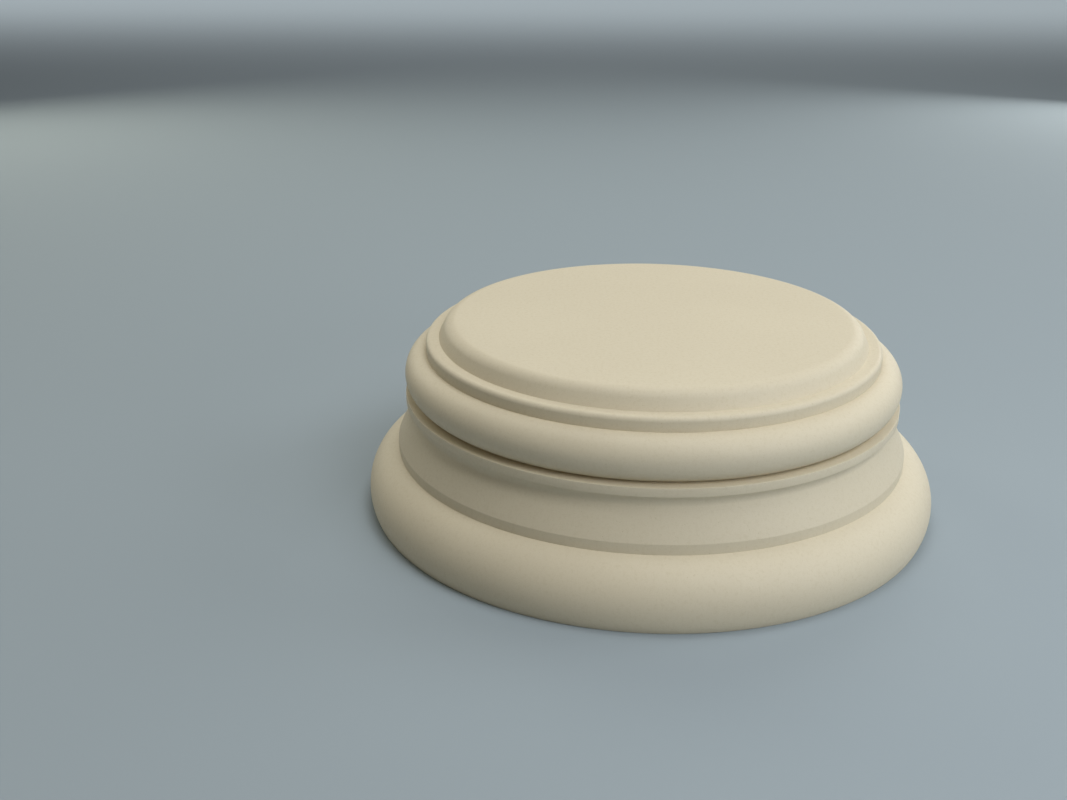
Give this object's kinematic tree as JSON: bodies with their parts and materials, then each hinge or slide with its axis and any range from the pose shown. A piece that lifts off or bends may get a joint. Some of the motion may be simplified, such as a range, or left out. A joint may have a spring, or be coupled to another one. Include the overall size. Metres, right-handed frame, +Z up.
{
  "type": "column base",
  "caption": "Round column base of cast stone with stepped convex and hollow mouldings under a flat seat for a shaft.",
  "frame": {"origin": "centre of the flat underside, on the ground", "axes": "+Z up along the axis of revolution, towards the seat; the part is round, so +X and +Y are free"},
  "size_m": [0.4418, 0.4418, 0.1455],
  "materials": {
    "stone": "matte, fine-grained cast stone"
  },
  "bodies": {
    "root": {"column_base": "stone"}
  },
  "joints": []
}
